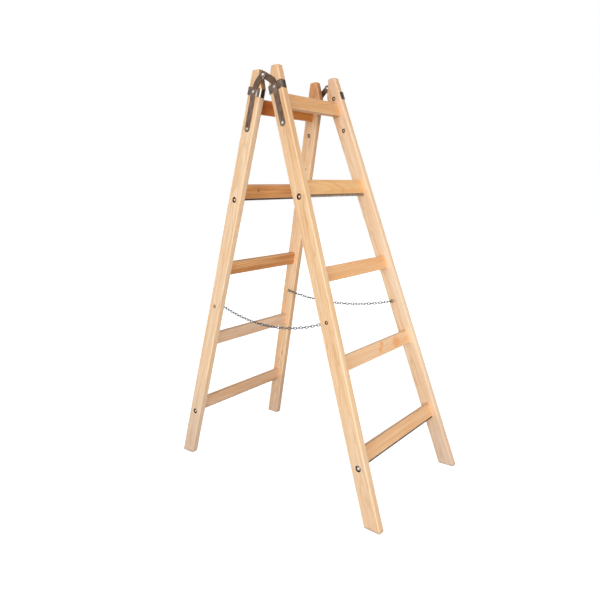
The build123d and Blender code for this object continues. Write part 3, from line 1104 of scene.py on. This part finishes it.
def stile_recesses(half, side):
    """A stile's recesses, with painted shade inside them: rods and eye sunk from its outer face, strap
    bolts from its inner one.
    """
    out = -sides[side] * halves[half]
    sunk = [(s, rod_recess_diameter, out) for s in rod_levels.values()]
    sunk += [(eye_level, eye_recess_diameter, out)]
    sunk += [(s, bolt_recess_diameter, -out) for s in bolt_seats]
    return [
        dict(centre=(0.0, 0.0, s / cos(splay) / mm), radius=diameter / 2 / mm, side=float(way))
        for s, diameter, way in sunk
    ]


def cut_back_face():
    """The face that cuts back a stile's inner edge at the top: a corner of it, and its normal."""
    run = half_reach - top_gap / 2
    low = np.array([-stile_depth / 2, 0, bevel_start / cos(splay)]) / mm
    high_across = top_height * sin(lean) - run * cos(lean)
    high_along = (top_height * cos(lean) + run * sin(lean)) / cos(splay)
    rise = np.array([high_across, 0, high_along]) / mm - low
    normal = np.array([-rise[2], 0, rise[0]]) / np.linalg.norm(rise)
    return dict(corner=low, normal=normal)


def inner_edge_face():
    """A stile's narrow inner face, darkened as painted shade where a board asks: a point of it, and its
    normal.
    """
    return dict(corner=(-stile_depth / 2 / mm, 0.0, 0.0), normal=(-1.0, 0.0, 0.0))


stile_size = (stile_depth, stile_wall, stile_rounding)
rung_size = (rung_height, rung_thickness, rung_rounding)
first_stile_seed = 1
first_rung_seed = 11
for seed, ((half, side), entry) in enumerate(stile_boards.items(), first_stile_seed):
    name = f"{half}_{side}_stile"
    board = plain_stile | entry
    axes = stile_axes(half, side)
    recesses = stile_recesses(half, side)
    # Faces darkened as saw-cut wood and as painted shade
    darkened_faces = [cut_back_face()]
    if board["shaded_inner_edge"]:
        darkened_faces.append(inner_edge_face())
    paint(name, board_wood(f"pine_{name}", axes, stile_size, board, seed, recesses, darkened_faces))
for seed, ((half, rung), entry) in enumerate(rung_boards.items(), first_rung_seed):
    name = f"{half}_rung_{rung}"
    board = plain_rung | entry
    place, across, along = rung_axes(half, rung - 1)
    axes = (place, across, along * board["way"])
    paint(name, board_wood(f"pine_{name}", axes, rung_size, board, seed))


# Steel parts


def clip_bend_highlights(half, side):
    """Mask of painted highlights on a clip's two bends and the tops of its arms.

    It is measured from a place inside the stile, so that the edges at its back don't count.
    """
    out = -sides[side] * halves[half]
    inset = 10.0
    margin = 1.5

    def mask(w, place):
        inward = w.vector("ADD", place, (0.0, out * inset, 0.0))
        bends = w.group(
            edge_highlight,
            place=inward,
            half_width=(stile_depth + clip_rounding) / 2 / mm + margin,
            half_depth=stile_wall / 2 / mm + inset,
            rounding=clip_rounding / mm,
        )
        return bends["Mask"]

    return mask


def clip_arms(half, side, start, end):
    """Mask of a clip's two arms, past the stile's sides, growing between two depths behind its face."""
    out = -sides[side] * halves[half]
    edge = stile_depth / 2 / mm
    face = stile_wall / 2 / mm
    fade = 1.0

    def mask(w, place):
        past = w.ramp(w.math("ABSOLUTE", w.part(place, "X")), edge, edge + fade)
        depth = w.math("MULTIPLY_ADD", w.part(place, "Y"), -out, face)
        return w.math("MULTIPLY", past, w.ramp(depth, start, end))

    return mask


def strap_side_highlight(w, place):
    """Mask of a painted highlight in a line on the clip along a strap's inner side."""
    offset = 2.4
    half_line = 3.2
    fade = 1.0
    centre = -strap_width / 2 / mm - offset
    distance = w.math("ABSOLUTE", w.math("SUBTRACT", w.part(place, "X"), centre))
    return w.ramp(distance, half_line, half_line - fade)


def strap_arm_shade(w, place):
    """Mask of painted shade on a strap's cranked arm, above its upper bolt, at part strength."""
    clear_of_bolt = 7.0
    fade = 10.0
    strength = 0.6
    start = upper_bolt / mm + clear_of_bolt
    return w.ramp(w.part(place, "Z"), start, start + fade, 0.0, strength)


def arm_rim_highlight(w, place):
    """Mask of a painted highlight on the rim of a strap's rounded end, a ring about the pivot on the far
    side of it.
    """
    edge = strap_width / 2 / mm
    rim = 1.6
    bright_rim = 1.0
    far_side = -3.0
    reach = w.vector("SUBTRACT", place, (-pivot_inset / mm, 0.0, pivot_level / cos(splay) / mm))
    distance = w.length(w.vector("MULTIPLY", reach, (1.0, 0.0, 1.0)))
    ring = w.ramp(distance, edge - rim, edge - bright_rim)
    beyond = w.ramp(w.part(reach, "X"), 0.0, far_side)
    return w.math("MULTIPLY", ring, beyond)


def rod_tips(tip):
    """Mask of a rod's two ends, beyond its nuts."""

    def mask(w, place):
        along = w.math("ABSOLUTE", w.part(place, "Z"))
        return w.ramp(along, (tip - 2 * rod_end) / mm, (tip - rod_end) / mm)

    return mask


first_strap_seed = 5
first_clip_seed = 9
for number, (half, side) in enumerate(stile_boards):
    body = f"{half}_half"
    axes = stile_axes(half, side)
    # Painted shade on the strap arms
    strap_places = [(arm_shade_steel, strap_arm_shade)]
    clip_places = [(dark_steel, clip_arms(half, side, *clip_arm_depths[half]))]
    # The rear straps and clips get painted highlights: a rim on the arm's rounded end, the clip's bends and
    # a line beside the strap
    if half == "rear":
        strap_places += [(rim_highlight_steel, arm_rim_highlight)]
        clip_places += [(bare_steel_and_highlight, clip_bend_highlights(half, side)), (bare_steel_and_highlight, strap_side_highlight)]
    strap_steel = metal(
        f"hinge_steel_{half}_{side}",
        hinge_tones,
        polish=0.5,
        seed=first_strap_seed + number,
        axes=axes,
        places=strap_places,
    )
    eased_copy(f"{half}_{side}_strap", body, strap_steel)
    clip_steel = metal(
        f"clip_steel_{half}_{side}",
        clip_tones,
        polish=0.46,
        seed=first_clip_seed + number,
        axes=axes,
        places=clip_places,
    )
    eased_copy(f"{half}_{side}_clip", body, clip_steel)

rod_floor = rod_washer_thickness - rod_recess_depth
bolt_nut_floor = bolt_recess_depth - stile_wall
bolt_nut_face = bolt_nut_floor - bolt_washer_thickness - bolt_nut_height
for half in halves:
    body = f"{half}_half"

    for name, s in rod_levels.items():
        rod = f"{half}_{name}_tie_rod"
        tip = outer(s) + rod_floor + rod_nut_height + rod_end
        # Tips of the other rods are beige: a painted warm reflection from the wood
        tip_tone = bare_steel_and_highlight if rod == "front_lower_tie_rod" else warm_reflection_tip
        # The front upper rod is made lighter: a painted highlight
        tones = highlighted_rod_tones if rod == "front_upper_tie_rod" else dark_rod_tones
        rod_steel = metal(
            f"drawn_steel_{rod}",
            tones,
            polish=0.4,
            seed=4,
            axes=rung_line_axes,
            metallic=0.6,
            places=[(tip_tone, rod_tips(tip))],
        )
        shape = copies(plain_rod(rod_diameter, 2 * tip, rod_end), [on_rod_line(half, 1, 0, s)])
        make_piece(rod + "_drawn", rod, body, "rod_steel", rod_steel, shape)
    stands = [
        on_rod_line(half, sign, outer(s) + rod_floor, s)
        for s in rod_levels.values()
        for sign in sides.values()
    ]
    nuts = copies(hex_nut(rod_nut_flats, rod_diameter, rod_nut_height), stands)
    nut_zinc = rod_nut_zinc[half]
    make_piece(f"{half}_rod_hex_nuts", f"{half}_rod_nuts", body, "zinc", nut_zinc, nuts)
    paint(f"{half}_rod_washers", nut_zinc)

    bolts = []
    for s, proud in bolt_seats.items():
        length = proud - bolt_nut_floor + bolt_washer_thickness + bolt_nut_height + bolt_end
        shape = domed_bolt(bolt_head_diameter, bolt_head_height, bolt_diameter, length, bolt_end / 2)
        bolts.append(copies(shape, [on_outer_face(half, sign, s, proud) for sign in sides.values()]))
    make_piece(f"{half}_domed_bolts", f"{half}_strap_bolts", body, "zinc", bolt_zinc, *bolts)
    stands = [on_outer_face(half, sign, s, bolt_nut_face) for s in bolt_seats for sign in sides.values()]
    nuts = copies(hex_nut(bolt_nut_flats, bolt_diameter, bolt_nut_height), stands)
    make_piece(f"{half}_bolt_hex_nuts", f"{half}_bolt_nuts", body, "zinc", shaded_nut_zinc, nuts)
    paint(f"{half}_bolt_washers", shaded_nut_zinc)

arm_back = outer(arm_level) + arm_clearance
rivet_grip = 2 * strap_thickness + rivet_washer_thickness + 2 * arm_clearance
pivot_height = pivot_level * cos(lean) - pivot_inset * sin(lean)
stands = [
    stand((sign * (arm_back + rivet_grip), 0, pivot_height), np.array([sign, 0, 0]), np.array([0, 1.0, 0]))
    for sign in sides.values()
]
rivets = copies(pivot_rivet(rivet_grip), stands)
make_piece("domed_pivot_rivets", "pivot_rivets", "front_half", "zinc", zinc, rivets)
paint("pivot_washers", rod_nut_zinc["rear"])


# Chains

eye_y = half_reach - eye_level * sin(lean)
eye_z = eye_level * cos(lean)
eye_x = outer(eye_level) - stile_thickness - eye_standoff
eye_floor = outer(eye_level) - eye_recess_depth + eye_washer_thickness
shank_start = eye_x + eye_radius
shank_length = eye_floor + eye_nut_height + rod_end - shank_start
first_link = link_reach - (eye_wire + link_wire) / 2 - link_slack
placing_steps = 6


def end_slope(side):
    """Angle below level at which a chain leaves its eyes."""
    return atan(2 * (eye_z - chain_low[side]) / eye_y)


def link_stands(side):
    """Stands of a chain's links, evenly spaced along a parabola, upright and flat in turn.

    The parabola is z = low + curve y^2. The place of each link is found from its run along the curve.
    """
    slope = end_slope(side)
    reach = eye_y - eye_radius * cos(slope)
    curve = (eye_z - eye_radius * sin(slope) - chain_low[side]) / reach**2

    def run(y):
        """Length of the parabola from its lowest point to y."""
        return y / 2 * np.sqrt(1 + (2 * curve * y) ** 2) + np.arcsinh(2 * curve * y) / (4 * curve)

    spacing = 2 * (run(reach) - first_link) / (link_count - 1)
    number = np.arange(link_count)
    wanted = (number - (link_count - 1) / 2) * spacing
    y = wanted
    for _ in range(placing_steps):
        y = y - (run(y) - wanted) / np.sqrt(1 + (2 * curve * y) ** 2)
    tilt = np.arctan(2 * curve * y)
    along = np.stack([0 * y, np.cos(tilt), np.sin(tilt)], axis=-1)
    upright = (number % 2 == 0)[:, None]
    normal = np.where(upright, [1.0, 0, 0], np.stack([0 * y, -np.sin(tilt), np.cos(tilt)], axis=-1))
    place = np.stack([0 * y + sides[side] * eye_x, y, chain_low[side] + curve * y**2], axis=-1)
    return np.stack([along, np.cross(normal, along), normal, place], axis=-1)


middle = link_count // 2 + 1
strands = {
    "front_{}_chain_upper": slice(0, links_per_strand),
    "front_{}_chain_lower": slice(links_per_strand, middle),
    "rear_{}_chain_lower": slice(middle, link_count - links_per_strand),
    "rear_{}_chain_upper": slice(link_count - links_per_strand, link_count),
}
for side in sides:
    stands = link_stands(side)
    for label, span in strands.items():
        strand = label.format(side)
        links = copies(chain_link(), stands[span])
        make_piece(strand + "_links", strand, strand, "chain_steel", chain_steel[side], links)

for half, turn in halves.items():
    body = f"{half}_half"
    shapes = []
    for side, sign in sides.items():
        slope = end_slope(side)
        pull = np.array([0, -turn * cos(slope), -sin(slope)])
        centre = np.array([sign * eye_x, turn * eye_y, eye_z])
        across = np.array([1.0, 0, 0])
        shapes.append(copies(eye_ring(), [stand(centre, np.cross(across, pull), across)]))
        shank = plain_rod(eye_shank, shank_length, rod_end)
        shank_middle = on_rod_line(half, sign, shank_start + shank_length / 2, eye_level)
        shapes.append(copies(shank, [shank_middle]))
    make_piece(f"{half}_eye_bolts", f"{half}_chain_eyes", body, "zinc", eye_zinc, *shapes)
    stands = [on_rod_line(half, sign, eye_floor, eye_level) for sign in sides.values()]
    nuts = copies(hex_nut(eye_nut_flats, eye_shank, eye_nut_height), stands)
    make_piece(f"{half}_eye_hex_nuts", f"{half}_eye_nuts", body, "zinc", shaded_nut_zinc, nuts)
    paint(f"{half}_eye_washers", shaded_nut_zinc)


# Studio

scene = bpy.context.scene
scene.view_settings.view_transform = "Standard"
ladder_middle = Vector((0, 0, 0.7))
white = (1, 1, 1, 1)
floor_grey = colour(170, 170, 170)
floor_roughness = 0.9
low_sky = 0.1
high_sky = 0.9
lamps = {
    "main": dict(azimuth=-73, elevation=7, distance=7.0, size=3.6, power=264),
    "left": dict(azimuth=-95, elevation=15, distance=6.0, size=3.6, power=80),
    "front": dict(azimuth=-12, elevation=9, distance=6.0, size=3.0, power=209),
    "right": dict(azimuth=100, elevation=5, distance=6.0, size=3.0, power=165),
    "back": dict(azimuth=168, elevation=5, distance=6.0, size=3.0, power=165),
}


def to_eye(w):
    """1 for rays that show the background: straight to the camera, or by a mirror or glass."""
    path = w.tree.nodes.new("ShaderNodeLightPath").outputs
    seen = w.math("MAXIMUM", path["Is Camera Ray"], path["Is Glossy Ray"])
    return w.math("MAXIMUM", seen, path["Is Transmission Ray"])


def white_world(level, overhead):
    """White behind the ladder, and soft light from all round that falls off overhead."""
    world = bpy.data.worlds.new("studio")
    world.use_nodes = True
    scene.world = world
    w = Wiring(world.node_tree)
    background = world.node_tree.nodes["Background"]
    background.inputs["Color"].default_value = white
    height = w.part(w.add("TexCoord", {}, out="Generated"), "Z")
    light = w.ramp(height, low_sky, high_sky, level, overhead)
    w.feed(background.inputs["Strength"], w.math("MAXIMUM", to_eye(w), light))


def white_floor(half_width, glow, near, far):
    """Pale floor that takes the ladder's shadow, lifted to white for the eye.

    The lift grows from the glow near the ladder to full white far from it.
    """
    mesh = bpy.data.meshes.new("floor")
    corners = [(-1, -1), (1, -1), (1, 1), (-1, 1)]
    mesh.from_pydata([(x * half_width, y * half_width, 0) for x, y in corners], [], [(0, 1, 2, 3)])
    floor = bpy.data.objects.new("floor", mesh)
    scene.collection.objects.link(floor)
    material, w, surface = new_material("white_floor")
    surface.inputs["Base Color"].default_value = floor_grey
    surface.inputs["Roughness"].default_value = floor_roughness
    surface.inputs["Emission Color"].default_value = white
    away = w.ramp(w.length(w.add("TexCoord", {}, out="Object")), near, far, glow, 1.0)
    w.feed(surface.inputs["Emission Strength"], w.math("MULTIPLY", to_eye(w), away))
    mesh.materials.append(material)


def soft_lamp(name, azimuth, elevation, distance, size, power):
    """Square lamp aimed at the ladder's middle; azimuth 0 stands in front of it."""
    data = bpy.data.lights.new(name, "AREA")
    data.size = size
    data.energy = power
    lamp = bpy.data.objects.new(name, data)
    scene.collection.objects.link(lamp)
    a, e = radians(azimuth), radians(elevation)
    back = Vector((sin(a) * cos(e), -cos(a) * cos(e), sin(e)))
    lamp.location = ladder_middle + back * distance
    lamp.rotation_euler = back.to_track_quat("Z", "Y").to_euler()
    lamp.visible_camera = False


def photo_camera():
    """The camera where the photograph was taken."""
    data = bpy.data.cameras.new("camera")
    data.sensor_width = sensor_width
    data.lens = focal_pixels / image_pixels * sensor_width
    camera = bpy.data.objects.new("camera", data)
    scene.collection.objects.link(camera)
    turn = Matrix.Rotation(camera_heading, 4, "Z") @ Matrix.Rotation(radians(90) - camera_dip, 4, "X")
    turn = turn @ Matrix.Rotation(camera_roll, 4, "Z")
    camera.matrix_world = Matrix.Translation(camera_place) @ turn
    scene.camera = camera


white_world(level=0.155, overhead=0.11)
white_floor(half_width=20.0, glow=0.88, near=1.2, far=3.0)
for name, settings in lamps.items():
    soft_lamp(name, **settings)
photo_camera()
